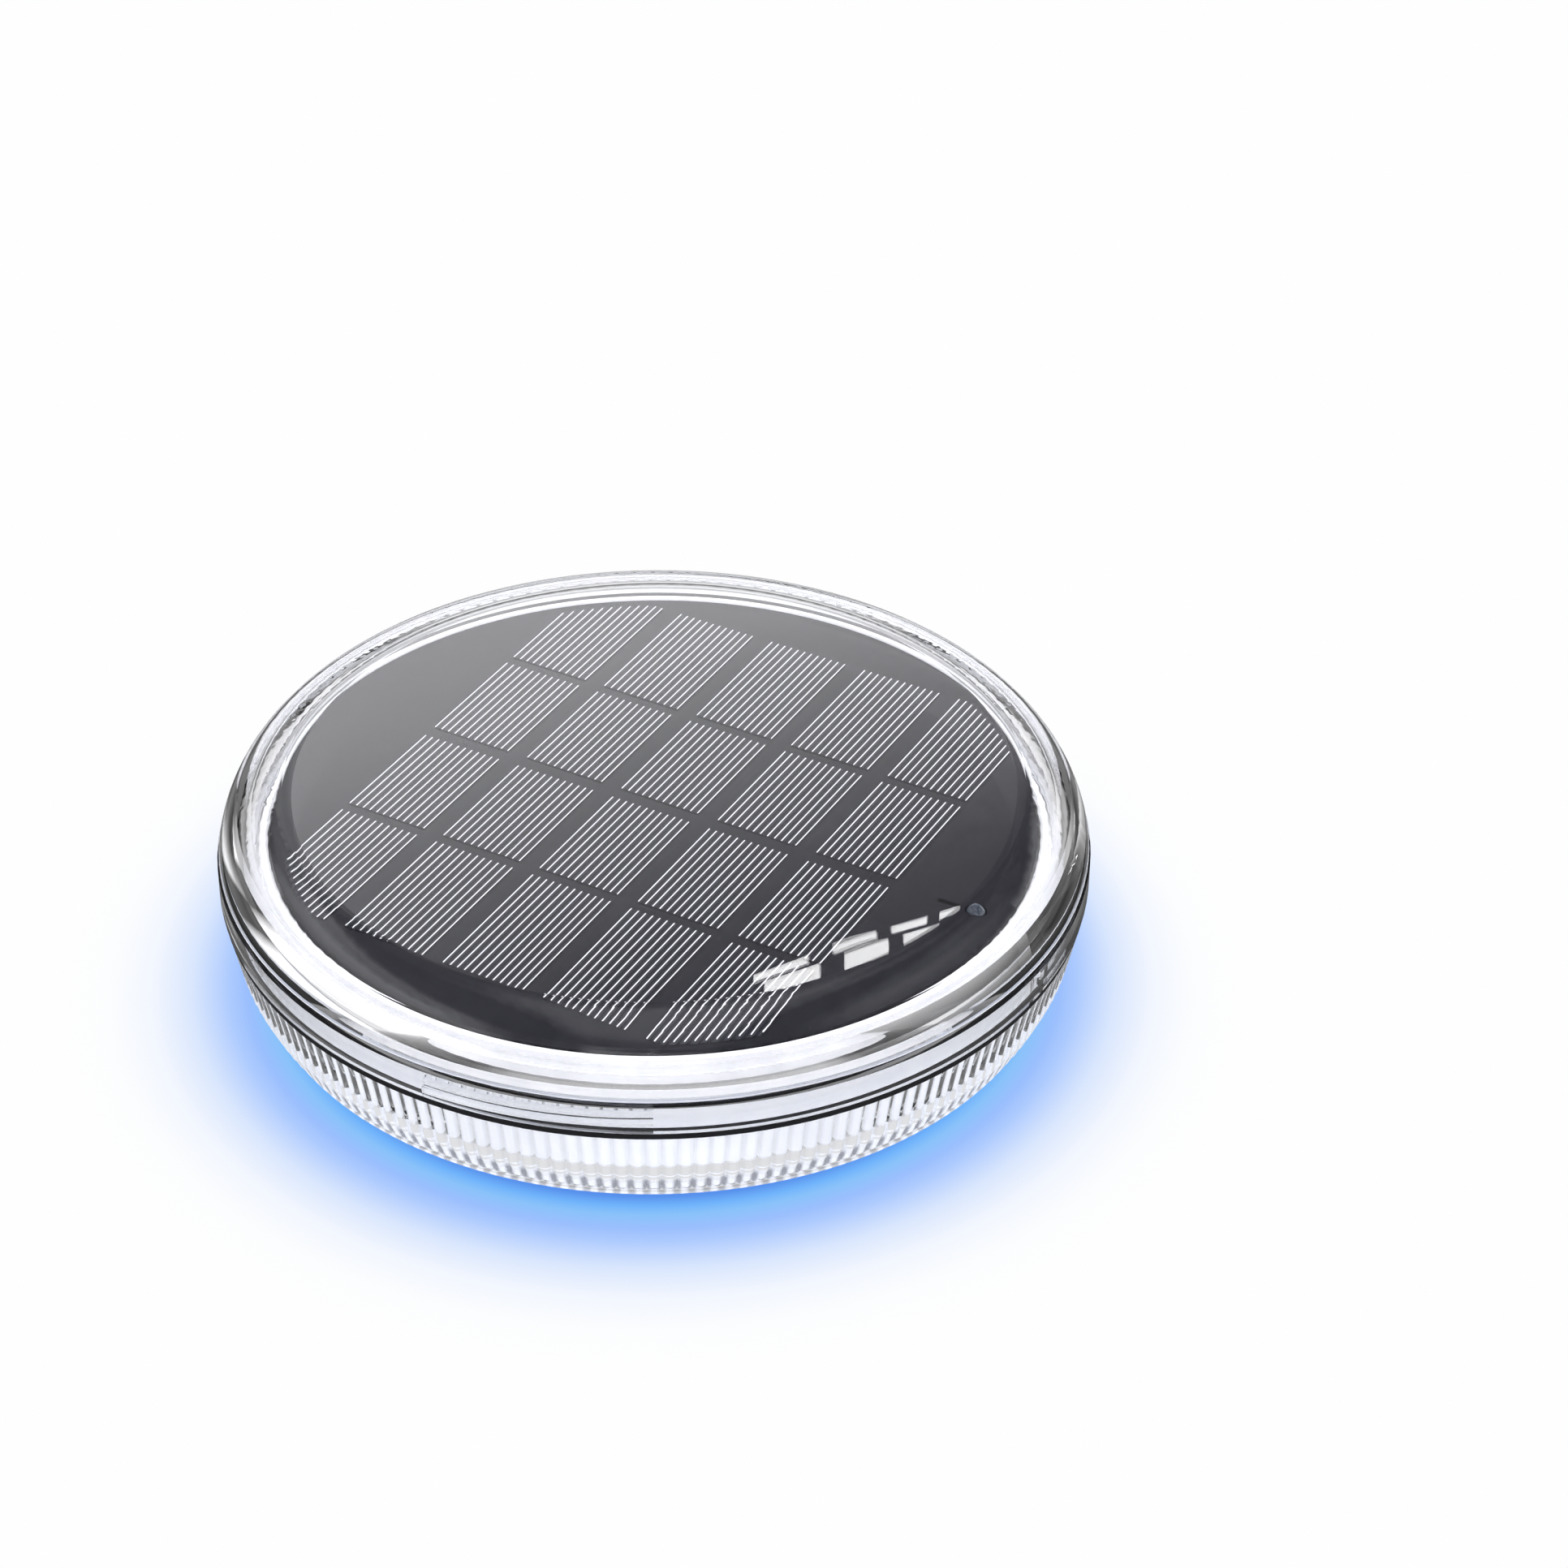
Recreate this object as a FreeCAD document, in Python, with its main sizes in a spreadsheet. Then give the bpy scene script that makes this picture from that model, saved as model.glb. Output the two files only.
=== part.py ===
"""Floating solar pool light: a clear screw-on cover over a solar panel and electronics, on a clear ribbed base.

Frame: millimetres, +Z up, origin on the axis at the foot. The light runs of the solar cells lie along Y.
The base stands still, the cover turns and rises on its thread, and the button travels straight up.
"""
import FreeCAD, Part

import math
import os

import Sketcher
from FreeCAD import Placement, Rotation, Vector

doc = FreeCAD.newDocument("pool_light")
sheet = doc.addObject("Spreadsheet::Sheet", "dim")

SIZES = {
    # Cover: a clear window, a thick shoulder that seats on the tray, a groove and a band over the thread
    "window_top": 33.0,
    "window_wall": 2.3,
    "shoulder_top_radius": 64.1,
    "shoulder_foot_radius": 72.0,
    "shoulder_foot_height": 22.4,
    "shoulder_arc": 14.0,
    "shoulder_blend": 10.0,
    "underside_radius": 59.6,
    "underside_arc": 8.4,
    "ledge_bore": 66.0,
    "ledge_top": 25.7,
    "ledge_bottom": 23.3,
    "tray_bay_radius": 69.65,
    "groove_radius": 71.3,
    "groove_height": 21.9,
    "groove_width": 0.5,
    "band_radius": 72.3,
    "band_bottom": 16.1,
    "band_edge": 0.4,
    "skirt_bore": 70.3,
    "bead_bore": 69.2,
    "bead_top": 21.5,
    # Thread: four short starts on the skirt, under four on the neck
    "thread_lead": 9.0,
    "thread_arc": 30.0,
    "thread_starts": 4,
    "thread_width": 1.2,
    "cover_thread_tip": 69.25,
    "cover_thread_height": 17.2,
    "base_thread_tip": 69.95,
    "base_thread_height": 18.65,
    "thread_root": 0.4,
    # Seal between the band and the base
    "seal_bore": 69.4,
    "seal_radius": 72.05,
    "seal_bottom": 15.2,
    "seal_top": 16.0,
    # Base
    "seam_height": 15.1,
    "rib_count": 180,
    "rib_depth": 0.5,
    "wall_top_radius": 72.0,
    "wall_knee_radius": 70.1,
    "wall_knee_height": 6.0,
    "wall_hip_radius": 68.5,
    "wall_hip_height": 2.4,
    "foot_radius": 66.4,
    "foot_lip_radius": 67.1,
    "foot_lip_height": 0.5,
    "foot_lip_bore": 62.0,
    "foot_bore": 52.0,
    "foot_depth": 1.6,
    "neck_radius": 68.9,
    "neck_bore": 67.0,
    "neck_top": 21.2,
    "floor_top": 4.0,
    "floor_corner": 3.0,
    "button_hole_radius": 6.5,
    # Milky cup inside the base, which spreads the light and hides the electronics
    "diffuser_bore": 15.2,
    "diffuser_radius": 66.5,
    "diffuser_wall": 0.8,
    "diffuser_top": 20.4,
    # Power button, its boot and the ring that clamps the boot
    "button_radius": 6.2,
    "button_bottom": 0.7,
    "button_flange_radius": 7.6,
    "button_flange_bottom": 4.3,
    "button_flange_top": 5.3,
    "button_post_radius": 1.8,
    "button_post_top": 10.25,
    "button_edge": 0.6,
    "boot_bore": 8.0,
    "boot_radius": 11.0,
    "boot_top": 5.6,
    "clamp_radius": 14.5,
    "clamp_step": 11.3,
    "clamp_web": 7.0,
    "clamp_top": 8.2,
    "clamp_bore": 2.6,
    "clamp_screw_circle": 12.9,
    "clamp_screw_count": 3,
    "clamp_screw_bottom": 2.6,
    "clamp_flange": 1.6,
    # Tray, panel and cells
    "tray_radius": 69.5,
    "tray_bottom": 21.6,
    "tray_top": 23.1,
    "rim_bore": 64.35,
    "rim_radius": 65.7,
    "rim_top": 25.4,
    "tape_radius": 63.0,
    "tape_bore": 57.0,
    "tape_wall": 0.6,
    "panel_radius": 64.0,
    "panel_wall": 1.6,
    "cell_wall": 0.2,
    "cell_width": 14.5,
    "cell_pitch": 18.45,
    "cell_columns": 5,
    "cell_short": 23.1,
    "cell_long": 26.7,
    "cell_middle_gap": 2.8,
    "cell_row_gap": 2.1,
    "cell_limit_radius": 62.4,
    # Light sensor in the panel's edge
    "sensor_offset": 59.4,
    "sensor_hole_radius": 1.7,
    "sensor_radius": 1.4,
    "sensor_size": 4.4,
    "sensor_pocket": 5.0,
    "sensor_slot_length": 4.6,
    "sensor_slot_width": 0.9,
    # LED ring under the tray
    "led_board_radius": 62.0,
    "led_board_bore": 51.0,
    "led_board_bottom": 19.6,
    "led_board_wall": 1.6,
    "led_circle": 57.5,
    "led_count": 24,
    "led_size": 5.0,
    "led_height": 1.5,
    "led_window_radius": 1.9,
    "led_window_proud": 0.15,
    "led_screw_circle": 60.2,
    "led_screw_count": 6,
    "led_screw_phase": 37.5,
    "led_screw_bite": 1.1,
    "led_post_radius": 1.5,
    # Main board under the tray
    "board_length": 50.0,
    "board_left": -25.0,
    "board_front": -27.0,
    "board_depth": 38.0,
    "board_bottom": 17.0,
    "board_wall": 1.6,
    "board_screw_inset": 3.2,
    "board_screw_bite": 2.6,
    "standoff_radius": 2.6,
    "standoff_bore": 0.8,
    # Parts on the main board's underside
    "chip_x": -13.0,
    "chip_y": -14.0,
    "chip_length": 10.2,
    "chip_depth": 3.9,
    "chip_height": 1.5,
    "chip_lift": 0.15,
    "leg_pitch": 1.27,
    "leg_count": 8,
    "leg_width": 0.4,
    "leg_reach": 1.2,
    "leg_wall": 0.2,
    "inductor_x": 12.5,
    "inductor_y": -16.0,
    "inductor_radius": 3.4,
    "inductor_height": 3.2,
    "inductor_groove": 0.9,
    "capacitor_radius": 2.5,
    "capacitor_height": 5.4,
    "capacitor_groove": 0.3,
    "resistor_count": 6,
    "resistor_left": -19.5,
    "resistor_pitch": 2.6,
    "resistor_y": -5.5,
    "resistor_width": 1.2,
    "resistor_depth": 2.0,
    "resistor_height": 0.6,
    "socket_length": 6.0,
    "socket_depth": 4.4,
    "socket_height": 4.6,
    "socket_wall": 0.7,
    "socket_floor": 1.2,
    # Push switch on the main board
    "switch_size": 8.0,
    "switch_height": 5.0,
    "switch_bore": 1.9,
    "switch_bore_depth": 2.8,
    "plunger_radius": 1.6,
    "plunger_bottom": 10.4,
    "plunger_top": 13.2,
    # Battery in its holder
    "cell_can_radius": 7.1,
    "cell_can_length": 48.6,
    "battery_y": 24.0,
    "battery_axis_height": 13.2,
    "battery_nub_radius": 2.8,
    "battery_nub_length": 1.2,
    "holder_length": 57.0,
    "holder_wall": 1.4,
    "holder_clearance": 0.2,
    "holder_cheek": 11.0,
    "holder_lap": 0.35,
    "contact_wall": 0.4,
    "contact_side": 8.0,
    "contact_tab": 5.2,
    # Wires and small screws
    "lead_radius": 0.6,
    "lead_bend": 2.0,
    "lead_spread": 2.2,
    "lead_run_height": 9.7,
    "panel_wire_x": 3.0,
    "panel_wire_y": -36.0,
    "screw_radius": 0.75,
    "screw_head_radius": 1.8,
    "screw_head_height": 1.2,
    "screw_hole_radius": 1.1,
}
for row, (alias, size) in enumerate(SIZES.items(), start=1):
    sheet.set(f"A{row}", alias)
    sheet.set(f"B{row}", str(size))
    sheet.setAlias(f"B{row}", alias)
doc.recompute()

# Where the battery's, the panel's and the LED ring's sockets stand on the main board, and the two capacitors
BATTERY_SOCKET = (14.5, 6.0)
PANEL_SOCKET = (0.0, -14.0)
LED_SOCKET = (-15.5, 5.0)
SOCKET_PLACES = (BATTERY_SOCKET, PANEL_SOCKET, LED_SOCKET)
CAPACITOR_PLACES = ((2.5, -20.5), (19.5, -8.0))

PARTS = []
AXIS_Z = Vector(0, 0, 1)
ORIGIN = Vector(0, 0, 0)


def size(alias):
    """A driving dimension, read from the sheet."""
    return float(getattr(sheet, alias))


def amount(expression):
    """What an expression of the sheet's cells comes to."""
    return float(sheet.evalExpression(expression))


def keep(piece, label):
    """Marks an object as a finished sub-part and gives it its own name."""
    piece.Label = label
    PARTS.append(piece)
    return piece


# ---------------------------------------------------------------- Sketches and bodies


def new_body(label):
    """A PartDesign body with a name of its own."""
    body = doc.addObject("PartDesign::Body", label + "_body")
    return body


def origin_plane(body, role):
    """One of the body's own origin planes or axes."""
    return next(item for item in body.Origin.OriginFeatures if item.Role == role)


def pin_down(sketch, edge, end, corner):
    """Fixes one end of an edge at a corner given as two expressions."""
    for axis, kind, expression in ((-2, "DistanceX", corner[0]), (-1, "DistanceY", corner[1])):
        if expression == "0":
            sketch.addConstraint(Sketcher.Constraint("PointOnObject", edge, end, axis))
            continue
        value = amount(expression)
        index = sketch.addConstraint(Sketcher.Constraint(kind, -1, 1, edge, end, value))
        sketch.setExpression(f"Constraints[{index}]", expression)


def arc_middle(start, end, radius, side):
    """The middle of a short arc that bulges to the right of its way, or to the left for a side of -1."""
    chord = end - start
    half = chord.Length / 2
    rise = radius - math.sqrt(radius * radius - half * half)
    outwards = Vector(chord.y, -chord.x, 0).normalize() * side
    return start + chord * 0.5 + outwards * rise


def outline_sketch(body, name, corners, arcs=None, plane="XZ_Plane"):
    """A closed outline whose corners are pairs of expressions. arcs gives the radius and the side, 1 for right
    and -1 for left, of each edge that is an arc, by the corner that it starts at."""
    arcs = arcs or {}
    sketch = body.newObject("Sketcher::SketchObject", name)
    sketch.AttachmentSupport = (origin_plane(body, plane), "")
    sketch.MapMode = "FlatFace"
    points = [Vector(amount(x), amount(y), 0) for x, y in corners]
    for index, start in enumerate(points):
        end = points[(index + 1) % len(points)]
        if index in arcs:
            radius, side = arcs[index]
            middle = arc_middle(start, end, amount(radius), side)
            first, last = (start, end) if side > 0 else (end, start)
            sketch.addGeometry(Part.Arc(first, middle, last), False)
        else:
            sketch.addGeometry(Part.LineSegment(start, end), False)
    ends = {}
    for index in range(len(points)):
        edge = sketch.Geometry[index]
        forward = (edge.StartPoint - points[index]).Length < 1e-6
        ends[index] = (1, 2) if forward else (2, 1)
    for index in range(len(points)):
        following = (index + 1) % len(points)
        joint = Sketcher.Constraint("Coincident", index, ends[index][1], following, ends[following][0])
        sketch.addConstraint(joint)
    for index, corner in enumerate(corners):
        pin_down(sketch, index, ends[index][0], corner)
    for index, (radius, _) in arcs.items():
        row = sketch.addConstraint(Sketcher.Constraint("Radius", index, amount(radius)))
        sketch.setExpression(f"Constraints[{row}]", radius)
    doc.recompute()
    return sketch


def revolve(body, name, corners, arcs=None, cut=False):
    """A full turn of an outline in the XZ plane about the body's Z axis, added or cut."""
    sketch = outline_sketch(body, name + "_outline", corners, arcs)
    turn = body.newObject("PartDesign::Groove" if cut else "PartDesign::Revolution", name)
    turn.Profile = sketch
    turn.ReferenceAxis = (sketch, ["V_Axis"])
    turn.Angle = 360
    body.Tip = turn
    doc.recompute()
    return turn


def circle_sketch(body, name, circles, offset=None):
    """Circles in the XY plane, each (x, y, radius) in expressions, lifted by an offset expression."""
    sketch = body.newObject("Sketcher::SketchObject", name)
    sketch.AttachmentSupport = (origin_plane(body, "XY_Plane"), "")
    sketch.MapMode = "FlatFace"
    if offset:
        sketch.setExpression("AttachmentOffset.Base.z", offset)
    for index, (x, y, radius) in enumerate(circles):
        centre = Vector(amount(x), amount(y), 0)
        sketch.addGeometry(Part.Circle(centre, AXIS_Z, amount(radius)), False)
        pin_down(sketch, index, 3, (x, y))
        row = sketch.addConstraint(Sketcher.Constraint("Radius", index, amount(radius)))
        sketch.setExpression(f"Constraints[{row}]", radius)
    doc.recompute()
    return sketch


def rectangle_sketch(body, name, low, high, offset=None):
    """A rectangle in the XY plane between two corners of expressions, lifted by an offset expression."""
    corners = [(low[0], low[1]), (high[0], low[1]), (high[0], high[1]), (low[0], high[1])]
    sketch = outline_sketch(body, name, corners, plane="XY_Plane")
    if offset:
        sketch.setExpression("AttachmentOffset.Base.z", offset)
    doc.recompute()
    return sketch


def pad(body, name, sketch, length):
    """Adds material above a sketch."""
    feature = body.newObject("PartDesign::Pad", name)
    feature.Profile = sketch
    feature.setExpression("Length", length)
    body.Tip = feature
    doc.recompute()
    return feature


def pocket(body, name, sketch, length, upwards=True):
    """Cuts material above a sketch, or below it, and makes sure that some went."""
    before = body.Shape.Volume
    feature = body.newObject("PartDesign::Pocket", name)
    feature.Profile = sketch
    feature.Reversed = upwards
    feature.setExpression("Length", length)
    body.Tip = feature
    doc.recompute()
    if not body.Shape.Volume < before - 1e-6:
        raise RuntimeError(name + " cut nothing")
    return feature


def polar(body, name, feature, count):
    """Repeats a feature round the body's Z axis."""
    pattern = body.newObject("PartDesign::PolarPattern", name)
    pattern.Originals = [feature]
    pattern.Axis = (origin_plane(body, "Z_Axis"), [""])
    pattern.Angle = 360
    pattern.setExpression("Occurrences", count)
    body.Tip = pattern
    doc.recompute()
    return pattern


def thread_lugs(body, name, inner, outer, height):
    """Short thread starts: a square section that climbs along a helix from the X axis, about a height."""
    rise = "dim.thread_lead * dim.thread_arc / 360"
    low = f"{height} - dim.thread_width / 2 - {rise} / 2"
    high = low + " + dim.thread_width"
    corners = [(inner, low), (outer, low), (outer, high), (inner, high)]
    sketch = outline_sketch(body, name + "_section", corners)
    lug = body.newObject("PartDesign::AdditiveHelix", name)
    lug.Profile = sketch
    lug.ReferenceAxis = (sketch, ["V_Axis"])
    lug.Mode = "pitch-height-angle"
    lug.setExpression("Pitch", "dim.thread_lead")
    lug.setExpression("Height", rise)
    body.Tip = lug
    doc.recompute()
    return polar(body, name + "_starts", lug, "dim.thread_starts")


# ---------------------------------------------------------------- Plain solids


def box(label, low, lengths):
    """A box bound to the sheet by its low corner and its three lengths."""
    item = doc.addObject("Part::Box", label)
    for axis, expression in zip("xyz", low):
        item.setExpression(f"Placement.Base.{axis}", expression)
    for side, expression in zip(("Length", "Width", "Height"), lengths):
        item.setExpression(side, expression)
    return item


def cylinder(label, base, radius, height):
    """An upright cylinder bound to the sheet."""
    item = doc.addObject("Part::Cylinder", label)
    for axis, expression in zip("xyz", base):
        item.setExpression(f"Placement.Base.{axis}", expression)
    item.setExpression("Radius", radius)
    item.setExpression("Height", height)
    return item


def cut(label, base, tools):
    """A base less its tools."""
    tool = tools[0]
    if len(tools) > 1:
        tool = fuse(label + "_tools", tools)
    item = doc.addObject("Part::Cut", label)
    item.Base = base
    item.Tool = tool
    return item


def fuse(label, items):
    """Several solids as one."""
    item = doc.addObject("Part::MultiFuse", label)
    item.Shapes = items
    item.Refine = True
    return item


def group(label, solids):
    """Separate identical or alike solids in one node, worked out from the sheet."""
    item = doc.addObject("Part::Feature", label)
    item.Shape = Part.makeCompound(solids)
    item.Placement = Placement()
    return keep(item, label)


def around(solid, count, phase=0.0):
    """Copies of a solid, evenly spaced round the Z axis."""
    copies = []
    for index in range(int(count)):
        copy = solid.copy()
        copy.rotate(ORIGIN, AXIS_Z, phase + 360.0 * index / count)
        copies.append(copy)
    return copies


def pan_screw(tip, seat, shank_height, points_down):
    """A small upright screw: its shank runs down or up from the seat, and its head is on the other side."""
    shank = size("screw_radius")
    head = size("screw_head_radius")
    tall = size("screw_head_height")
    way = -1 if points_down else 1
    body = Part.makeCylinder(shank, shank_height, Vector(tip.x, tip.y, seat), Vector(0, 0, way))
    cap = Part.makeCylinder(head, tall, Vector(tip.x, tip.y, seat), Vector(0, 0, -way))
    rim = [edge for edge in cap.Edges if abs(edge.CenterOfMass.z - (seat - way * tall)) < 1e-6]
    cap = cap.makeFillet(tall * 0.45, rim)
    cross = Part.makeBox(head * 1.2, 0.4, 0.5)
    cross.translate(Vector(-head * 0.6, -0.2, -0.25))
    other = cross.copy()
    other.rotate(ORIGIN, AXIS_Z, 90)
    recess = cross.fuse(other)
    recess.translate(Vector(tip.x, tip.y, seat - way * tall))
    return body.fuse(cap).cut(recess).removeSplitter()


# ---------------------------------------------------------------- Cover and seal


def round_rim(body, name, base, height, radius):
    """Rounds the body's circular edge that lies level at a height."""
    level = amount(height)
    rims = [
        f"Edge{index}"
        for index, edge in enumerate(base.Shape.Edges, start=1)
        if abs(edge.BoundBox.ZMin - level) < 1e-4 and abs(edge.BoundBox.ZMax - level) < 1e-4
    ]
    blend = body.newObject("PartDesign::Fillet", name)
    blend.Base = (base, rims)
    blend.setExpression("Radius", radius)
    body.Tip = blend
    doc.recompute()


def make_top_cover():
    """The clear cover: window, thick shoulder, groove and skirt band, with the tray's bay and thread inside."""
    body = new_body("top_cover")
    groove_top = "dim.groove_height + dim.groove_width / 2"
    groove_foot = "dim.groove_height - dim.groove_width / 2"
    under = "dim.window_top - dim.window_wall"
    arc_level = f"dim.ledge_top - ({under} - dim.underside_arc)"
    knee = f"dim.underside_radius + sqrt(dim.underside_arc ^ 2 - ({arc_level}) ^ 2)"
    corners = [
        ("0", under),
        ("dim.underside_radius", under),
        (knee, "dim.ledge_top"),
        ("dim.ledge_bore", "dim.ledge_top"),
        ("dim.ledge_bore", "dim.ledge_bottom"),
        ("dim.tray_bay_radius", "dim.ledge_bottom"),
        ("dim.tray_bay_radius", "dim.bead_top"),
        ("dim.bead_bore", "dim.bead_top"),
        ("dim.bead_bore", "dim.bead_top - 0.3"),
        ("dim.skirt_bore", "dim.bead_top - 0.9"),
        ("dim.skirt_bore", "dim.band_bottom"),
        ("dim.band_radius - dim.band_edge", "dim.band_bottom"),
        ("dim.band_radius", "dim.band_bottom + dim.band_edge"),
        ("dim.band_radius", groove_foot + " - 0.25"),
        ("dim.groove_radius", groove_foot),
        ("dim.groove_radius", groove_top),
        ("dim.shoulder_foot_radius", "dim.shoulder_foot_height"),
        ("dim.shoulder_top_radius", "dim.window_top"),
        ("0", "dim.window_top"),
    ]
    arcs = {1: ("dim.underside_arc", -1), 16: ("dim.shoulder_arc", 1)}
    shell = revolve(body, "cover_shell", corners, arcs)
    round_rim(body, "window_blend", shell, "dim.window_top", "dim.shoulder_blend")
    thread_lugs(
        body,
        "cover_thread",
        "dim.cover_thread_tip",
        "dim.skirt_bore + dim.thread_root",
        "dim.cover_thread_height",
    )
    return keep(body, "top_cover")


def make_cover_seal():
    """The flat rubber ring between the band and the base."""
    body = new_body("cover_seal")
    corners = [
        ("dim.seal_bore", "dim.seal_bottom"),
        ("dim.seal_radius", "dim.seal_bottom"),
        ("dim.seal_radius", "dim.seal_top"),
        ("dim.seal_bore", "dim.seal_top"),
    ]
    revolve(body, "seal_ring", corners)
    return keep(body, "cover_seal")


# ---------------------------------------------------------------- Base


def rib_outline(radius, height):
    """A closed ring of convex ribs whose crests lie at radius."""
    count = int(size("rib_count"))
    valley = radius - size("rib_depth")
    step = 2 * math.pi / count
    edges = []
    for index in range(count):
        angle = index * step
        start = Vector(valley * math.cos(angle - step / 2), valley * math.sin(angle - step / 2), height)
        crest = Vector(radius * math.cos(angle), radius * math.sin(angle), height)
        end = Vector(valley * math.cos(angle + step / 2), valley * math.sin(angle + step / 2), height)
        edges.append(Part.Arc(start, crest, end).toShape())
    return Part.Wire(edges)


def make_rib_cutter():
    """What surrounds the ribbed wall: a sleeve less the ribbed solid, whose ribs follow the wall's profile."""
    overrun = 1.0
    profile = [
        (size("foot_radius") - overrun * 0.8, -overrun),
        (size("wall_hip_radius"), size("wall_hip_height")),
        (size("wall_knee_radius"), size("wall_knee_height")),
        (size("wall_top_radius") + overrun * 0.2, size("seam_height") + overrun),
    ]
    wires = [rib_outline(radius, height) for radius, height in profile]
    ribbed = Part.makeLoft(wires, True, True)
    top = size("seam_height") + overrun
    sleeve = Part.makeCylinder(size("band_radius") + 5, top + overrun, Vector(0, 0, -overrun))
    cutter = doc.addObject("Part::Feature", "rib_cutter")
    cutter.Shape = sleeve.cut(ribbed)
    return cutter


def make_base_shell():
    """The clear ribbed bowl: foot ring with a thin lip, recessed floor, thick wall and threaded neck."""
    body = new_body("base_shell")
    outside = "dim.wall_top_radius + 0.6"
    corners = [
        ("dim.button_hole_radius", "dim.foot_depth"),
        ("dim.foot_bore - dim.foot_depth", "dim.foot_depth"),
        ("dim.foot_bore", "0"),
        (outside, "0"),
        (outside, "dim.seam_height"),
        ("dim.neck_radius", "dim.seam_height"),
        ("dim.neck_radius", "dim.neck_top"),
        ("dim.neck_bore", "dim.neck_top"),
        ("dim.neck_bore", "dim.floor_top + dim.floor_corner"),
        ("dim.neck_bore - dim.floor_corner", "dim.floor_top"),
        ("dim.button_hole_radius", "dim.floor_top"),
    ]
    revolve(body, "bowl", corners)
    thread_lugs(
        body,
        "base_thread",
        "dim.neck_radius - dim.thread_root",
        "dim.base_thread_tip",
        "dim.base_thread_height",
    )
    holes = clamp_circles("dim.screw_radius")
    sketch = circle_sketch(body, "clamp_holes", holes, "dim.clamp_screw_bottom - 0.2")
    pocket(body, "clamp_screw_holes", sketch, "dim.floor_top")
    ribbed = cut("base_shell_ribbed", body, [make_rib_cutter()])
    disc = cylinder("foot_disc", ("0", "0", "0"), "dim.foot_lip_radius", "dim.foot_lip_height")
    bore = cylinder("foot_disc_bore", ("0", "0", "0"), "dim.foot_lip_bore", "dim.foot_lip_height")
    lip = cut("foot_lip", disc, [bore])
    return keep(fuse("base_shell_whole", [ribbed, lip]), "base_shell")


def make_light_diffuser():
    """The milky cup that stands on the base's floor, inside the wall and the neck."""
    body = new_body("light_diffuser")
    wall = "dim.diffuser_wall"
    corners = [
        ("dim.diffuser_bore", "dim.floor_top"),
        ("dim.diffuser_radius - dim.floor_corner", "dim.floor_top"),
        ("dim.diffuser_radius", "dim.floor_top + dim.floor_corner"),
        ("dim.diffuser_radius", "dim.diffuser_top"),
        (f"dim.diffuser_radius - {wall}", "dim.diffuser_top"),
        (f"dim.diffuser_radius - {wall}", f"dim.floor_top + dim.floor_corner + 0.4 * {wall}"),
        (f"dim.diffuser_radius - dim.floor_corner - 0.4 * {wall}", f"dim.floor_top + {wall}"),
        ("dim.diffuser_bore", f"dim.floor_top + {wall}"),
    ]
    revolve(body, "diffuser_cup", corners)
    return keep(body, "light_diffuser")


def clamp_circles(radius):
    """The clamp's screw places, as circles in expressions."""
    circles = []
    for index in range(int(size("clamp_screw_count"))):
        turn = 360 / int(size("clamp_screw_count")) * index + 90
        across = f"dim.clamp_screw_circle * cos({turn} deg)"
        along = f"dim.clamp_screw_circle * sin({turn} deg)"
        circles.append((across, along, radius))
    return circles


def make_button_cap():
    """The power button: a cap in the floor's hole, a flange that keeps it in, and a post up to the switch."""
    body = new_body("button_cap")
    corners = [
        ("0", "dim.button_bottom"),
        ("dim.button_radius - dim.button_edge", "dim.button_bottom"),
        ("dim.button_radius", "dim.button_bottom + dim.button_edge"),
        ("dim.button_radius", "dim.button_flange_bottom"),
        ("dim.button_flange_radius", "dim.button_flange_bottom"),
        ("dim.button_flange_radius", "dim.button_flange_top"),
        ("dim.button_post_radius", "dim.button_flange_top"),
        ("dim.button_post_radius", "dim.button_post_top"),
        ("0", "dim.button_post_top"),
    ]
    revolve(body, "cap", corners)
    return keep(body, "button_cap")


def make_button_boot():
    """The silicone ring that seals round the button, with a soft rib on top for the clamp to press."""
    body = new_body("button_boot")
    corners = [
        ("dim.boot_bore", "dim.floor_top"),
        ("dim.boot_radius", "dim.floor_top"),
        ("dim.boot_radius", "dim.boot_top - 0.3"),
        ("dim.boot_radius - 0.5", "dim.boot_top"),
        ("dim.boot_bore + 0.5", "dim.boot_top"),
        ("dim.boot_bore", "dim.boot_top - 0.3"),
    ]
    revolve(body, "boot_ring", corners)
    return keep(body, "button_boot")


def make_boot_clamp():
    """The cap that holds the boot down, with screw holes in its flange and a bore for the button's post."""
    body = new_body("boot_clamp")
    corners = [
        ("dim.clamp_bore", "dim.clamp_web"),
        ("dim.boot_bore", "dim.clamp_web"),
        ("dim.boot_bore", "dim.boot_top"),
        ("dim.clamp_step", "dim.boot_top"),
        ("dim.clamp_step", "dim.floor_top"),
        ("dim.clamp_radius", "dim.floor_top"),
        ("dim.clamp_radius", "dim.boot_top + 0.4"),
        ("dim.boot_bore + 2.0", "dim.clamp_top"),
        ("dim.clamp_bore", "dim.clamp_top"),
    ]
    revolve(body, "clamp_cap", corners)
    seats = circle_sketch(body, "seat_circles", clamp_circles("dim.screw_head_radius + 0.2"), clamp_seat())
    pocket(body, "screw_seats", seats, "dim.clamp_top")
    holes = circle_sketch(body, "hole_circles", clamp_circles("dim.screw_hole_radius"), "dim.floor_top - 0.2")
    pocket(body, "screw_holes", holes, "dim.clamp_top")
    return keep(body, "boot_clamp")


def clamp_seat():
    """The height at which the clamp's screw heads sit."""
    return "dim.floor_top + dim.clamp_flange"


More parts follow.
